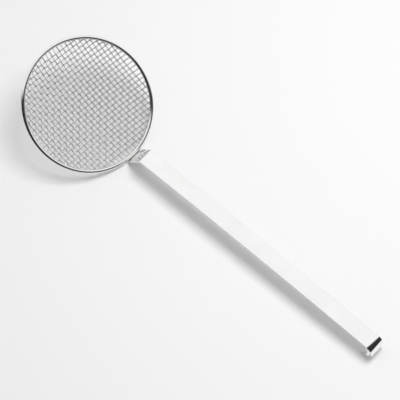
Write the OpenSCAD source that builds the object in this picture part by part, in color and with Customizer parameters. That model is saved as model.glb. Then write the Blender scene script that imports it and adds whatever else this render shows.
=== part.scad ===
// Kitchen skimmer: a woven wire dish held in a rolled steel rim, on a one-piece strip handle.
// It is drawn first in the dish's own frame: origin at the rim's centre, +Z up along the dish's
// axis, +X towards the handle. The whole skimmer is then laid down as it lies on a table, on the
// foot of its neck and the bottom of its hook.

/* [Rim] */
// Outside diameter of the rim
rim_outer_d = 140; // [120:1:170]
// Thickness of the rolled rim bead
rim_bead_d = 4.2; // [3.8:0.1:5.5]
// Thickness of the sheet that the rim is rolled from
rim_sheet = 0.6; // [0.4:0.05:0.7]
// Depth of the woven dish below the middle of the rim
dish_depth = 15.5; // [9:0.5:22]

/* [Mesh] */
// Diameter of the wires
wire_d = 1.1; // [0.8:0.05:1.3]
// Number of warp wires, which run towards the handle
warp_wires = 27; // [21:1:30]
// Number of weft wires, which run across
weft_wires = 26; // [20:1:29]
// How far the warp wires are turned from the line of the handle, in degrees
warp_turn = 2; // [0:0.5:8]
// How far the weft wires are turned from square to the handle, in degrees
weft_turn = 6.5; // [0:0.5:8]
// Gap between two wires where they cross
weave_gap = 0.1; // [0.05:0.05:0.3]
// Gap between the mesh and each lip of the rim
lip_gap = 0.1; // [0.05:0.05:0.3]

/* [Handle] */
// Width of the handle strip
strip_w = 18; // [14:0.5:24]
// Thickness of the handle strip
strip_t = 2; // [1.4:0.1:2.4]
// Length of the neck, from the middle of the rim to the crease
neck_len = 28; // [20:0.5:36]
// Lean of the neck outwards from the dish's axis, in degrees
neck_lean = 6; // [0:1:12]
// How far the foot of the neck reaches below the middle of the rim
foot_drop = 2.4; // [1.8:0.1:3]
// Gap between the foot of the neck and the rim
foot_gap = 0.05; // [0.02:0.01:0.1]
// Inside radius of the bend between neck and handle
crease_r = 1.6; // [1:0.2:4]
// Rise of the handle above the plane of the rim, in degrees
handle_rise = 29; // [20:1:40]
// Length of the handle from the crease to the hook
handle_len = 292; // [200:1:340]
// Height of the handle's slight arch
handle_bow = 2.6; // [1:0.2:5]
// Radius of the round weld stitches under the rim
weld_r = 0.9; // [0.7:0.1:1.2]
// Length of one weld stitch
weld_len = 5; // [3:0.5:6]

/* [Hook] */
// Inside radius of the hook
hook_r = 8.3; // [6:0.1:12]
// How far round the hook turns, in degrees
hook_turn = 188; // [160:1:200]

/* [Hidden] */
wire_sides = 5;
arch_facets = 24;
crease_facets = 8;
steel = "Gainsboro";

// Rim and dish
bead_r = rim_bead_d / 2;
rim_r = rim_outer_d / 2 - bead_r;
dish_r = (rim_r * rim_r + dish_depth * dish_depth) / (2 * dish_depth);
dish_centre = [0, 0, dish_r - dish_depth];
rim_slope = asin(rim_r / dish_r);

// Weave: each wire is lifted and lowered by the crimp, so that it clears the wires it crosses
crimp = (wire_d + weave_gap) / 2;
slot_h = 2 * crimp + wire_d + 2 * lip_gap;
wire_end_r = rim_r - wire_d;
// The wires of each family are spread evenly over the dish, from one edge of the open mesh to the
// other, and the last wire lies clear of the rim
mesh_arc = 2 * to_arc(rim_r - bead_r - 1.5 * wire_d);
warp_pitch = mesh_arc / (warp_wires + 1);
weft_pitch = mesh_arc / (weft_wires + 1);
warp_at = spread(warp_wires, warp_pitch);
weft_at = spread(weft_wires, weft_pitch);
warp_dir = [cos(warp_turn), -sin(warp_turn)];
weft_dir = [sin(weft_turn), cos(weft_turn)];

// Handle: the strip is drawn in the hook's own frame, with the origin at the hook's centre and the
// strip's end at the top of it. From there its middle line goes back along -X: a long slight arc,
// the tight bend of the crease, and the straight neck. Each station is [point, angle of the strip].
strip_mid_r = crease_r + strip_t / 2;
hook_mid_r = hook_r + strip_t / 2;
arch_turn = 2 * atan(4 * handle_bow / handle_len);
arch_r = handle_len / 2 / sin(arch_turn / 2);
neck_angle = 90 - neck_lean;
crease_turn = neck_angle - handle_rise - arch_turn / 2;
hook_angle = neck_angle - crease_turn - arch_turn;
neck_run = neck_len - (crease_r + strip_t) * tan(crease_turn / 2);
arch_start = [0, hook_mid_r];
arch_end = back_along(arch_start, 0, arch_turn, arch_r);
crease_end = back_along(arch_end, arch_turn, crease_turn, strip_mid_r);
neck_end = crease_end - (neck_run + foot_drop) * turned([1, 0], arch_turn + crease_turn);
strip_stations = concat(
    [for (i = [0 : arch_facets])
        let (a = arch_turn * i / arch_facets)
        [back_along(arch_start, 0, a, arch_r), a]],
    [for (i = [1 : crease_facets])
        let (a = crease_turn * i / crease_facets)
        [back_along(arch_end, arch_turn, a, strip_mid_r), arch_turn + a]],
    [[neck_end, arch_turn + crease_turn]]
);
neck_out = [cos(neck_lean), -sin(neck_lean)];
neck_up = [sin(neck_lean), cos(neck_lean)];
neck_foot = [rim_r, 0] + (bead_r + foot_gap + strip_t / 2) * neck_out - foot_drop * neck_up;
hook_centre = neck_foot - turned(neck_end, hook_angle);

// Rest on a table: a line from the lower corner of the foot touches the hook from below
foot_corner = neck_foot + strip_t / 2 * neck_out;
foot_to_hook = hook_centre - foot_corner;
lie_angle = atan2(foot_to_hook.y, foot_to_hook.x) - asin((hook_r + strip_t) / norm(foot_to_hook));
table_x = [lie_x([-rim_r, 0]) - bead_r, lie_x(hook_centre) + hook_r + strip_t];
table_z = min(lie_z(foot_corner), lie_z([rim_r, 0]) - bead_r);

// Arc length along the dish for a distance from its axis, and the reverse
function to_arc(plan) = dish_r * asin(plan / dish_r) * PI / 180;
function to_plan(arc) = dish_r * sin(arc / dish_r * 180 / PI);
// Distances of a family's wires from the middle of the dish, seen along its axis
function spread(count, pitch) = [for (i = [0 : count - 1]) to_plan((i - (count - 1) / 2) * pitch)];
// A vector of the plane of symmetry turned by an angle
function turned(v, a) = [v.x * cos(a) - v.y * sin(a), v.x * sin(a) + v.y * cos(a)];
// The point reached from start, going back along a bend of radius r
function back_along(start, angle, turn, r) =
    start + r * (turned([0, 1], angle + turn) - turned([0, 1], angle));
// Where a point of the plane of symmetry comes to lie
function lie_x(p) = p.x * cos(lie_angle) + p.y * sin(lie_angle);
function lie_z(p) = -p.x * sin(lie_angle) + p.y * cos(lie_angle);
function two_digits(n) = n < 10 ? str("0", n) : str(n);
function warp_name(i) = str("warp_wire_", two_digits(i + 1));
function weft_name(i) = str("weft_wire_", two_digits(i + 1));

// A point of the dish's middle surface, and the way up from it
function on_dish(p) = [p.x, p.y, dish_centre.z - sqrt(dish_r * dish_r - p * p)];
function dish_up(p) = (dish_centre - on_dish(p)) / dish_r;
// Half the length of the line through p along dir that lies inside the circle of wire_end_r,
// and the distance from p back to the line's middle
function line_middle(p, dir) = p * dir;
function line_half(p, dir) = sqrt(wire_end_r * wire_end_r - p * p + pow(p * dir, 2));
// Height of a crimped wire at a distance from a crossing where its height is top
function crimp_at(top, away, pitch) = top * cos(180 * min(away / pitch, 1));

// Stations [plan point, height over the middle surface] of a wire that starts from p along dir,
// crosses the others at the distances in at, and passes over the first of them if over is true
function stations(p, dir, at, pitch, over) =
    let (
        middle = line_middle(p, dir),
        half = line_half(p, dir),
        ends = [-middle - half, -middle + half],
        inside = [for (i = [0 : len(at) - 1])
            if (at[i] > ends[0] + wire_d / 2 && at[i] < ends[1] - wire_d / 2) i],
        first = inside[0],
        last = inside[len(inside) - 1],
        top = function (i) ((i % 2 == 0) == over ? crimp : -crimp)
    )
    concat(
        [[p + ends[0] * dir, crimp_at(top(first), at[first] - ends[0], pitch)]],
        [for (i = inside) [p + at[i] * dir, top(i)]],
        [[p + ends[1] * dir, crimp_at(top(last), ends[1] - at[last], pitch)]]
    );

// Corners of a wire's section at one station
function wire_ring(station, dir) =
    let (
        p = station[0],
        up = dish_up(p),
        rise = (p * dir) / (dish_centre.z - on_dish(p).z),
        along = [dir.x, dir.y, rise] / norm([dir.x, dir.y, rise]),
        across = cross(up, along),
        middle = on_dish(p) + station[1] * up
    )
    [for (k = [0 : wire_sides - 1])
        let (a = 90 + 360 * k / wire_sides)
        middle + wire_d / 2 * (sin(a) * up + cos(a) * across)];

// One wire: a round bar swept through its stations
module wire(line, dir) {
    rings = len(line);
    points = [for (s = line) each wire_ring(s, dir)];
    first_cap = [for (k = [0 : wire_sides - 1]) k];
    last_cap = [for (k = [wire_sides - 1 : -1 : 0]) (rings - 1) * wire_sides + k];
    walls = [for (r = [0 : rings - 2], k = [0 : wire_sides - 1])
        let (
            a = r * wire_sides + k,
            b = r * wire_sides + (k + 1) % wire_sides
        )
        each [[a, a + wire_sides, b], [b, a + wire_sides, b + wire_sides]]];
    polyhedron(points, concat([first_cap, last_cap], walls));
}

// A warp wire crosses all the weft wires, over and under them in turn
module warp_wire(i) {
    start = warp_at[i] * weft_dir;
    color(steel)
        lie_down()
            wire(stations(start, warp_dir, weft_at, weft_pitch, i % 2 == 0), warp_dir);
}

// A weft wire passes over where the warp wire passes under
module weft_wire(i) {
    start = weft_at[i] * warp_dir;
    color(steel)
        lie_down()
            wire(stations(start, weft_dir, warp_at, warp_pitch, i % 2 == 1), weft_dir);
}

// The rim is a strip rolled into a bead, with a slot on the inside that holds the edge of the mesh
module rim_section() {
    difference() {
        circle(d = rim_bead_d);
        circle(d = rim_bead_d - 2 * rim_sheet);
        rotate(rim_slope)
            translate([-rim_bead_d, -slot_h / 2])
                square([rim_bead_d, slot_h]);
    }
}

module rim_ring() {
    color(steel)
        lie_down()
            rotate_extrude($fn = 180)
                translate([rim_r, 0])
                    rim_section($fn = 48);
}

// Neck, long handle and hook are one strip
module handle() {
    upper = [for (s = strip_stations) s[0] + strip_t / 2 * turned([0, 1], s[1])];
    lower = [for (s = strip_stations) s[0] - strip_t / 2 * turned([0, 1], s[1])];
    color(steel)
        lie_down()
            translate([hook_centre.x, 0, hook_centre.y])
                rotate([90, -hook_angle, 0]) {
                    linear_extrude(strip_w, center = true)
                        polygon(concat(upper, [for (i = [len(lower) - 1 : -1 : 0]) lower[i]]));
                    rotate_extrude(angle = hook_turn, start = 90 - hook_turn, $fn = 96)
                        translate([hook_r, -strip_w / 2])
                            square([strip_t, strip_w]);
                }
}

// Two short weld stitches fill the nook under the rim, between the bead and the foot of the neck
module neck_weld() {
    nook = [rim_r, 0] + (bead_r - weld_r / 4) * neck_out - (foot_drop - weld_r / 2) * neck_up;
    color(steel)
        lie_down()
            difference() {
                for (side = [-1, 1])
                    translate([nook.x, side * strip_w / 4, nook.y])
                        rotate([90, 0, 0])
                            cylinder(r = weld_r, h = weld_len, center = true, $fn = 32);
                rotate_extrude($fn = 180)
                    translate([rim_r, 0])
                        circle(d = rim_bead_d, $fn = 48);
                translate([neck_foot.x, 0, neck_foot.y])
                    rotate([0, -neck_angle, 0])
                        translate([-strip_t, -strip_w / 2, -3 * strip_t / 2])
                            cube([2 * strip_t + foot_drop, strip_w, 2 * strip_t]);
            }
}

// Lays what is drawn in the dish's frame down on the table: the middle of the length is at the
// origin, and the lowest point is at the height of the table
module lie_down() {
    translate([-(table_x[0] + table_x[1]) / 2, 0, -table_z])
        rotate([0, lie_angle, 0])
            children();
}

rim_ring();
handle();
neck_weld();
for (i = [0 : len(warp_at) - 1])
    warp_wire(i);
for (i = [0 : len(weft_at) - 1])
    weft_wire(i);
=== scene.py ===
"""Kitchen skimmer: smooth woven mesh, rolled rim, polished strip handle, hook and weld stitches."""
import bpy
import bmesh
import math
from mathutils import Matrix, Vector


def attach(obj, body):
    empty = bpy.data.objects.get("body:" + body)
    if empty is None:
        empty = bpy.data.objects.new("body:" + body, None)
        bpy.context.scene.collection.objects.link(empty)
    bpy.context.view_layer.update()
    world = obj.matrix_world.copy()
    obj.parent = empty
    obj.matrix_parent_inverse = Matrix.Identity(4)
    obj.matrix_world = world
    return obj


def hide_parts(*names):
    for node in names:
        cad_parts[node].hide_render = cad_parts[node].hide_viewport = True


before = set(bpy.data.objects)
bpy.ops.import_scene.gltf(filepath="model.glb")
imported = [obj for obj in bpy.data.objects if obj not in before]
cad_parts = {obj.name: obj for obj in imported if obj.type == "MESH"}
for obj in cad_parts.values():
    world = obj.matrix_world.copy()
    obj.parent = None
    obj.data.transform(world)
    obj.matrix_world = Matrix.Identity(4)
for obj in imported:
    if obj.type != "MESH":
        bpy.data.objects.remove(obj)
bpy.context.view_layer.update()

# Sizes of the solids, in millimetres and degrees, as in the part's source
RIM_R = 67.9
BEAD_R = 2.1
SHEET = 0.6
DEPTH = 15.5
WIRE_D = 1.1
WEAVE_GAP = 0.1
LIP_GAP = 0.1
WARP_WIRES = 27
WEFT_WIRES = 26
WARP_TURN = 2.0
WEFT_TURN = 6.5
STRIP_W = 18.0
STRIP_T = 2.0
NECK_LEAN = 6.0
FOOT_DROP = 2.4
FOOT_GAP = 0.05
CREASE_R = 1.6
RISE = 29.0
NECK_LEN = 28.0
HANDLE_LEN = 292.0
BOW = 2.6
HOOK_R = 8.3
HOOK_TURN = 188.0
WELD_R = 0.9
WELD_LEN = 5.0

DISH_R = (RIM_R ** 2 + DEPTH ** 2) / (2 * DEPTH)
CENTRE_Z = DISH_R - DEPTH
SLOPE = math.asin(RIM_R / DISH_R)
CRIMP = (WIRE_D + WEAVE_GAP) / 2
END_R = RIM_R - WIRE_D


def rot2(v, a):
    """A vector of the plane of symmetry, turned by a degrees."""
    c, s = math.cos(math.radians(a)), math.sin(math.radians(a))
    return (v[0] * c - v[1] * s, v[0] * s + v[1] * c)


def back_along(start, angle, turn, r):
    """The point reached going back along a bend of radius r."""
    a, b = rot2((0, 1), angle + turn), rot2((0, 1), angle)
    return (start[0] + r * (a[0] - b[0]), start[1] + r * (a[1] - b[1]))


# The strip's middle line, in the hook's frame
MID_R = CREASE_R + STRIP_T / 2
HOOK_MID = HOOK_R + STRIP_T / 2
ARCH_TURN = 2 * math.degrees(math.atan(4 * BOW / HANDLE_LEN))
ARCH_R = HANDLE_LEN / 2 / math.sin(math.radians(ARCH_TURN / 2))
NECK_ANGLE = 90 - NECK_LEAN
CREASE_TURN = NECK_ANGLE - RISE - ARCH_TURN / 2
HOOK_ANGLE = NECK_ANGLE - CREASE_TURN - ARCH_TURN
NECK_RUN = NECK_LEN - (CREASE_R + STRIP_T) * math.tan(math.radians(CREASE_TURN / 2))
ARCH_START = (0.0, HOOK_MID)
ARCH_END = back_along(ARCH_START, 0, ARCH_TURN, ARCH_R)
CREASE_END = back_along(ARCH_END, ARCH_TURN, CREASE_TURN, MID_R)
_d = rot2((1, 0), ARCH_TURN + CREASE_TURN)
NECK_END = (CREASE_END[0] - (NECK_RUN + FOOT_DROP) * _d[0], CREASE_END[1] - (NECK_RUN + FOOT_DROP) * _d[1])
OUT = rot2((1, 0), -NECK_LEAN)
UP = rot2((0, 1), -NECK_LEAN)
_q = BEAD_R + FOOT_GAP + STRIP_T / 2
FOOT = (RIM_R + _q * OUT[0] - FOOT_DROP * UP[0], _q * OUT[1] - FOOT_DROP * UP[1])
_e = rot2(NECK_END, HOOK_ANGLE)
HOOK_C = (FOOT[0] - _e[0], FOOT[1] - _e[1])
CORNER = (FOOT[0] + STRIP_T / 2 * OUT[0], FOOT[1] + STRIP_T / 2 * OUT[1])
_f = (HOOK_C[0] - CORNER[0], HOOK_C[1] - CORNER[1])
LIE = math.degrees(math.atan2(_f[1], _f[0]) - math.asin((HOOK_R + STRIP_T) / math.hypot(*_f)))


def lie_xz(p):
    """Where a point of the plane of symmetry comes to lie, before the shift to the table."""
    return rot2(p, -LIE)


X0 = lie_xz((-RIM_R, 0))[0] - BEAD_R
X1 = lie_xz(HOOK_C)[0] + HOOK_R + STRIP_T
SHIFT = Vector((-(X0 + X1) / 2, 0, -lie_xz(CORNER)[1]))
# From the dish's frame in millimetres to the row's frame in metres
LAY = (Matrix.Scale(0.001, 4) @ Matrix.Translation(SHIFT) @ Matrix.Rotation(math.radians(LIE), 4, "Y"))
HOOK_TO_DISH = (Matrix.Translation((HOOK_C[0], 0, HOOK_C[1]))
                @ Matrix.Rotation(math.radians(-HOOK_ANGLE), 4, "Y"))


def make_object(name, bm, material, nodes):
    """Turns a bmesh into a piece that rides on the part and stands for its CAD nodes."""
    mesh = bpy.data.meshes.new(name)
    bmesh.ops.recalc_face_normals(bm, faces=bm.faces)
    bm.to_mesh(mesh)
    bm.free()
    for poly in mesh.polygons:
        poly.use_smooth = True
    obj = bpy.data.objects.new(name, mesh)
    bpy.context.scene.collection.objects.link(obj)
    obj.data.materials.append(material)
    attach(obj, "root")
    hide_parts(*nodes)


def sweep(bm, rings, closed=False):
    """Skins a list of rings of points, with caps unless the sweep closes on itself."""
    verts = [[bm.verts.new(p) for p in ring] for ring in rings]
    n = len(verts[0])
    m = len(verts)
    for i in range(m if closed else m - 1):
        a, b = verts[i], verts[(i + 1) % m]
        for k in range(n):
            bm.faces.new((a[k], a[(k + 1) % n], b[(k + 1) % n], b[k]))
    if not closed:
        bm.faces.new(list(reversed(verts[0])))
        bm.faces.new(verts[-1])


def nodes_of(mat):
    mat.use_nodes = True
    nt = mat.node_tree
    nt.nodes.clear()
    out = nt.nodes.new("ShaderNodeOutputMaterial")
    bsdf = nt.nodes.new("ShaderNodeBsdfPrincipled")
    nt.links.new(bsdf.outputs["BSDF"], out.inputs["Surface"])
    return nt, bsdf


def steel(name, colour, rough, scratch_scale, scratch_bump, stain=0.05, rough_spread=0.08):
    """Polished steel: fine lengthwise polishing lines, faint stains and a little uneven gloss."""
    mat = bpy.data.materials.new(name)
    nt, bsdf = nodes_of(mat)
    tc = nt.nodes.new("ShaderNodeTexCoord")
    bsdf.inputs["Metallic"].default_value = 1.0
    # Stains: broad soft patches, a shade darker and a shade less sharp
    cloud = nt.nodes.new("ShaderNodeTexNoise")
    cloud.inputs["Scale"].default_value = 38.0
    cloud.inputs["Detail"].default_value = 4.0
    nt.links.new(tc.outputs["Object"], cloud.inputs["Vector"])
    ramp = nt.nodes.new("ShaderNodeValToRGB")
    ramp.color_ramp.elements[0].position = 0.30
    # Stains: broad soft patches, a shade darker
    ramp.color_ramp.elements[1].position = 0.70
    ramp.color_ramp.elements[0].color = [c * (1 - stain) for c in colour] + [1]
    ramp.color_ramp.elements[1].color = list(colour) + [1]
    nt.links.new(cloud.outputs["Fac"], ramp.inputs["Fac"])
    nt.links.new(ramp.outputs["Color"], bsdf.inputs["Base Color"])
    # Polishing lines along the piece
    stretch = nt.nodes.new("ShaderNodeMapping")
    stretch.inputs["Scale"].default_value = scratch_scale
    nt.links.new(tc.outputs["Object"], stretch.inputs["Vector"])
    lines = nt.nodes.new("ShaderNodeTexNoise")
    lines.inputs["Scale"].default_value = 1.0
    lines.inputs["Detail"].default_value = 5.0
    nt.links.new(stretch.outputs["Vector"], lines.inputs["Vector"])
    span = nt.nodes.new("ShaderNodeMapRange")
    span.inputs["From Min"].default_value = 0.3
    span.inputs["From Max"].default_value = 0.7
    span.inputs["To Min"].default_value = max(0.02, rough - rough_spread / 2)
    span.inputs["To Max"].default_value = rough + rough_spread / 2
    nt.links.new(lines.outputs["Fac"], span.inputs["Value"])
    nt.links.new(span.outputs["Result"], bsdf.inputs["Roughness"])
    bump = nt.nodes.new("ShaderNodeBump")
    bump.inputs["Strength"].default_value = scratch_bump
    bump.inputs["Distance"].default_value = 0.00005
    nt.links.new(lines.outputs["Fac"], bump.inputs["Height"])
    nt.links.new(bump.outputs["Normal"], bsdf.inputs["Normal"])
    return mat


STRIP_STEEL = steel("strip_steel", (0.93, 0.93, 0.925), 0.10, (60, 2400, 2400), 0.10)
RIM_STEEL = steel("rim_steel", (0.86, 0.86, 0.855), 0.12, (900, 900, 900), 0.10)
WIRE_STEEL = steel("wire_steel", (0.80, 0.80, 0.80), 0.22, (1500, 1500, 1500), 0.20, stain=0.10)
WELD_STEEL = steel("weld_steel", (0.58, 0.57, 0.55), 0.34, (1800, 1800, 1800), 0.5, stain=0.3)


def to_plan(arc):
    return DISH_R * math.sin(arc / DISH_R)


def to_arc(plan):
    return DISH_R * math.asin(plan / DISH_R)


MESH_ARC = 2 * to_arc(RIM_R - BEAD_R - 1.5 * WIRE_D)
WARP_PITCH = MESH_ARC / (WARP_WIRES + 1)
WEFT_PITCH = MESH_ARC / (WEFT_WIRES + 1)
WARP_AT = [to_plan((i - (WARP_WIRES - 1) / 2) * WARP_PITCH) for i in range(WARP_WIRES)]
WEFT_AT = [to_plan((i - (WEFT_WIRES - 1) / 2) * WEFT_PITCH) for i in range(WEFT_WIRES)]
WARP_DIR = Vector((math.cos(math.radians(WARP_TURN)), -math.sin(math.radians(WARP_TURN))))
WEFT_DIR = Vector((math.sin(math.radians(WEFT_TURN)), math.cos(math.radians(WEFT_TURN))))
# Corners of a wire's section, and rings between two crossings
SIDES = 10
STEPS = 8


def on_dish(p):
    return Vector((p.x, p.y, CENTRE_Z - math.sqrt(DISH_R ** 2 - p.x ** 2 - p.y ** 2)))


def wire_rings(start, direction, at, pitch, over):
    """Rings of one round wire, bent in a smooth wave over and under the wires it crosses."""
    mid = start.dot(direction)
    half = math.sqrt(END_R ** 2 - start.dot(start) + mid ** 2)
    lo, hi = -mid - half, -mid + half
    stops = [(t, CRIMP if (i % 2 == 0) == over else -CRIMP) for i, t in enumerate(at)
             if lo + WIRE_D / 2 < t < hi - WIRE_D / 2]
    t0, h0 = stops[0]
    t1, h1 = stops[-1]
    knots = [(lo, h0 * math.cos(math.pi * min((t0 - lo) / pitch, 1)))] + stops
    knots.append((hi, h1 * math.cos(math.pi * min((hi - t1) / pitch, 1))))
    line = []
    for (a, ha), (b, hb) in zip(knots, knots[1:]):
        n = STEPS if b - a > pitch * 0.6 else STEPS // 2
        for k in range(n):
            f = k / n
            # A crimped wire lies snug round the crossing wire and runs straight between two
            g = (1 - math.cos(math.pi * f)) / 2
            line.append((a + (b - a) * f, ha + (hb - ha) * (0.62 * g + 0.38 * f)))
    line.append(knots[-1])
    middle = []
    for t, h in line:
        p = start + t * direction
        base = on_dish(p)
        up = (Vector((0, 0, CENTRE_Z)) - base) / DISH_R
        middle.append((base + h * up, up))
    rings = []
    for i, (c, up) in enumerate(middle):
        a = middle[max(i - 1, 0)][0]
        b = middle[min(i + 1, len(middle) - 1)][0]
        along = (b - a).normalized()
        side = up.cross(along).normalized()
        top = along.cross(side)
        rings.append([c + WIRE_D / 2 * (math.sin(w) * top + math.cos(w) * side)
                      for w in (math.pi / 2 + 2 * math.pi * k / SIDES for k in range(SIDES))])
    return rings


def build_wire(name, start, direction, at, pitch, over):
    bm = bmesh.new()
    rings = wire_rings(start, direction, at, pitch, over)
    sweep(bm, [[LAY @ p for p in ring] for ring in rings])
    make_object(name + "_smooth", bm, WIRE_STEEL, [name])


for i, t in enumerate(WARP_AT):
    build_wire("warp_wire_%02d" % (i + 1), t * WEFT_DIR, WARP_DIR, WEFT_AT, WEFT_PITCH, i % 2 == 0)
for i, t in enumerate(WEFT_AT):
    build_wire("weft_wire_%02d" % (i + 1), t * WARP_DIR, WEFT_DIR, WARP_AT, WARP_PITCH, i % 2 == 1)


def rim_section():
    """Outline of the rolled bead, open towards the mesh."""
    half_slot = CRIMP + WIRE_D / 2 + LIP_GAP
    outer, inner = BEAD_R, BEAD_R - SHEET
    a0 = math.pi - math.asin(half_slot / outer)
    a1 = math.pi - math.asin(min(half_slot / inner, 1))
    pts = []
    n = 44
    for k in range(n + 1):
        w = -a0 + 2 * a0 * k / n
        pts.append((outer * math.cos(w), outer * math.sin(w)))
    for k in range(n // 2 + 1):
        w = a1 - 2 * a1 * k / (n // 2)
        pts.append((inner * math.cos(w), inner * math.sin(w)))
    c, s = math.cos(SLOPE), math.sin(SLOPE)
    return [(x * c - z * s, x * s + z * c) for x, z in pts]


bm = bmesh.new()
section = rim_section()
rings = []
# Sections round the rim
TURNS = 240
for i in range(TURNS):
    w = 2 * math.pi * i / TURNS
    rings.append([LAY @ Vector(((RIM_R + x) * math.cos(w), (RIM_R + x) * math.sin(w), z))
                  for x, z in section])
sweep(bm, rings, closed=True)
make_object("rim_rolled", bm, RIM_STEEL, ["rim_ring"])


def strip_section(round_r=0.45, n=4):
    """Rounded rectangle, thickness first and width second."""
    pts = []
    for cx, cy, a in ((1, 1, 0), (-1, 1, 90), (-1, -1, 180), (1, -1, 270)):
        for k in range(n + 1):
            w = math.radians(a + 90 * k / n)
            pts.append((cx * (STRIP_T / 2 - round_r) + round_r * math.cos(w),
                        cy * (STRIP_W / 2 - round_r) + round_r * math.sin(w)))
    return pts


def strip_stations():
    """Middle line of the strip with its direction, from the hook's tip to the foot of the neck."""
    out = []
    n = 40
    for k in range(n):
        a = -HOOK_TURN * (1 - k / n)
        p = rot2((0, HOOK_MID), a)
        out.append((p, a))
    n = 60
    for k in range(n + 1):
        a = ARCH_TURN * k / n
        out.append((back_along(ARCH_START, 0, a, ARCH_R), a))
    n = 12
    for k in range(1, n + 1):
        a = CREASE_TURN * k / n
        out.append((back_along(ARCH_END, ARCH_TURN, a, MID_R), ARCH_TURN + a))
    n = 8
    for k in range(1, n + 1):
        f = k / n
        out.append(((CREASE_END[0] + (NECK_END[0] - CREASE_END[0]) * f,
                     CREASE_END[1] + (NECK_END[1] - CREASE_END[1]) * f), ARCH_TURN + CREASE_TURN))
    return out


stations = strip_stations()
flat = strip_section()
# How far the strip's cut ends are rounded over, in millimetres
EDGE = 0.35


def strip_ring(p, a, inset):
    """One ring of the strip, drawn in by inset where its cut end is rounded over."""
    up = rot2((0, 1), a)
    pts = []
    for t, w in flat:
        t2 = math.copysign(max(abs(t) - inset, 0), t)
        w2 = math.copysign(max(abs(w) - inset, 0), w)
        pts.append(LAY @ (HOOK_TO_DISH @ Vector((p[0] + t2 * up[0], w2, p[1] + t2 * up[1]))))
    return pts


def moved(p, a, distance):
    d = rot2((1, 0), a)
    return (p[0] + distance * d[0], p[1] + distance * d[1])


a_first = stations[0][1]
last, a_last = stations[-1]
bm = bmesh.new()
rings = []
HEAD = [(EDGE * (1 - math.cos(math.radians(t))), EDGE * (1 - math.sin(math.radians(t))))
        for t in (0, 30, 60, 90)]
# At the tip of the hook the strip runs backwards from the tip, so the rounding comes first
for along, inset in HEAD:
    a = a_first + math.degrees(along / HOOK_MID)
    rings.append(strip_ring(rot2((0, HOOK_MID), a), a, inset))
for p, a in stations[1:-1]:
    rings.append(strip_ring(p, a, 0))
for along, inset in reversed(HEAD):
    rings.append(strip_ring(moved(last, a_last, along), a_last, inset))
sweep(bm, rings)
make_object("handle_strip", bm, STRIP_STEEL, ["handle"])


# Weld stitches: a row of overlapping ripples in the nook under the rim
bm = bmesh.new()
nook = (RIM_R + (BEAD_R - WELD_R / 4) * OUT[0] - (FOOT_DROP - WELD_R / 2) * UP[0],
        (BEAD_R - WELD_R / 4) * OUT[1] - (FOOT_DROP - WELD_R / 2) * UP[1])
for side in (-1, 1):
    rings = []
    n = 40
    for k in range(n + 1):
        f = k / n
        y = side * STRIP_W / 4 + (f - 0.5) * WELD_LEN
        end = math.sqrt(max(1 - (2 * f - 1) ** 6, 0.02))
        r = WELD_R * end * (0.94 + 0.06 * abs(math.sin(math.pi * 7 * f)))
        rings.append([LAY @ Vector((nook[0] + r * math.cos(w), y, nook[1] + r * math.sin(w)))
                      for w in (2 * math.pi * j / 20 for j in range(20))])
    sweep(bm, rings)
make_object("weld_stitches", bm, WELD_STEEL, ["neck_weld"])

# Camera: fitted to the photograph in a level frame at the rim's centre, 2 m away
FIT_TILT = 29.04
ROWS = (Vector((0.745522, 0.66647, -0.003681)), Vector((-0.609319, 0.683809, 0.401417)),
        Vector((0.27005, -0.297023, 0.915888)))
FROM_CENTRE = (112.64, -96.13, 2000.0)
turn = Matrix.Rotation(math.radians(LIE - FIT_TILT), 3, "Y")
right, up, back = [turn @ v for v in ROWS]
centre = LAY @ Vector((0, 0, 0))
spot = centre + 0.001 * (FROM_CENTRE[0] * right + FROM_CENTRE[1] * up + FROM_CENTRE[2] * back)
cam_data = bpy.data.cameras.new("camera")
cam = bpy.data.objects.new("camera", cam_data)
bpy.context.scene.collection.objects.link(cam)
cam.matrix_world = Matrix.Translation(spot) @ Matrix((right, up, back)).transposed().to_4x4()
cam_data.sensor_fit = "HORIZONTAL"
cam_data.angle = 2 * math.atan(200 / 0.99386 / 2000.0)
cam_data.clip_end = 20
bpy.context.scene.camera = cam

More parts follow.
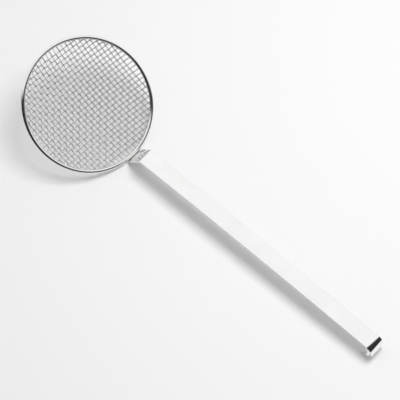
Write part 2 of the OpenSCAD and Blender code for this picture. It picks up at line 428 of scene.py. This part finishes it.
# World: a bright backdrop behind and above the skimmer, dark on the other sides, as the polished
# steel shows it; the camera itself sees plain white
world = bpy.data.worlds.new("studio")
bpy.context.scene.world = world
world.use_nodes = True
nt = world.node_tree
nt.nodes.clear()
out = nt.nodes.new("ShaderNodeOutputWorld")
bg = nt.nodes.new("ShaderNodeBackground")
nt.links.new(bg.outputs["Background"], out.inputs["Surface"])
tc = nt.nodes.new("ShaderNodeTexCoord")
dot = nt.nodes.new("ShaderNodeVectorMath")
dot.operation = "DOT_PRODUCT"
dot.inputs[1].default_value = up
nt.links.new(tc.outputs["Generated"], dot.inputs[0])
edge = nt.nodes.new("ShaderNodeMapRange")
edge.interpolation_type = "SMOOTHSTEP"
edge.inputs["From Min"].default_value = 0.16
edge.inputs["From Max"].default_value = 0.36
edge.inputs["To Min"].default_value = 0.03
edge.inputs["To Max"].default_value = 1.0
nt.links.new(dot.outputs["Value"], edge.inputs["Value"])
path = nt.nodes.new("ShaderNodeLightPath")
pick = nt.nodes.new("ShaderNodeMix")
pick.data_type = "FLOAT"
nt.links.new(path.outputs["Is Glossy Ray"], pick.inputs[0])
pick.inputs[2].default_value = 0.45
nt.links.new(edge.outputs["Result"], pick.inputs[3])
seen = nt.nodes.new("ShaderNodeMath")
seen.operation = "MAXIMUM"
nt.links.new(path.outputs["Is Camera Ray"], seen.inputs[0])
nt.links.new(pick.outputs[0], seen.inputs[1])
nt.links.new(seen.outputs["Value"], bg.inputs["Strength"])
bg.inputs["Color"].default_value = (1, 1, 1, 1)

# One large soft light almost overhead, a little towards the far side
key_data = bpy.data.lights.new("key", "AREA")
key_data.shape = "DISK"
key_data.size = 0.75
key_data.energy = 13
key = bpy.data.objects.new("key", key_data)
bpy.context.scene.collection.objects.link(key)
aim = Vector((0.095, 0.287, 0.953)).normalized()
key.location = aim * 1.5
key.rotation_euler = aim.to_track_quat("Z", "Y").to_euler()
key.visible_glossy = False

# White floor that keeps the shadow
bm = bmesh.new()
bmesh.ops.create_grid(bm, x_segments=1, y_segments=1, size=3)
mesh = bpy.data.meshes.new("floor")
bm.to_mesh(mesh)
bm.free()
floor = bpy.data.objects.new("floor", mesh)
bpy.context.scene.collection.objects.link(floor)
paper = bpy.data.materials.new("white_floor")
nt, bsdf = nodes_of(paper)
bsdf.inputs["Base Color"].default_value = (0.95, 0.95, 0.95, 1)
bsdf.inputs["Roughness"].default_value = 0.9
bsdf.inputs["Specular IOR Level"].default_value = 0.1
floor.data.materials.append(paper)
bpy.context.scene.view_settings.view_transform = "Standard"
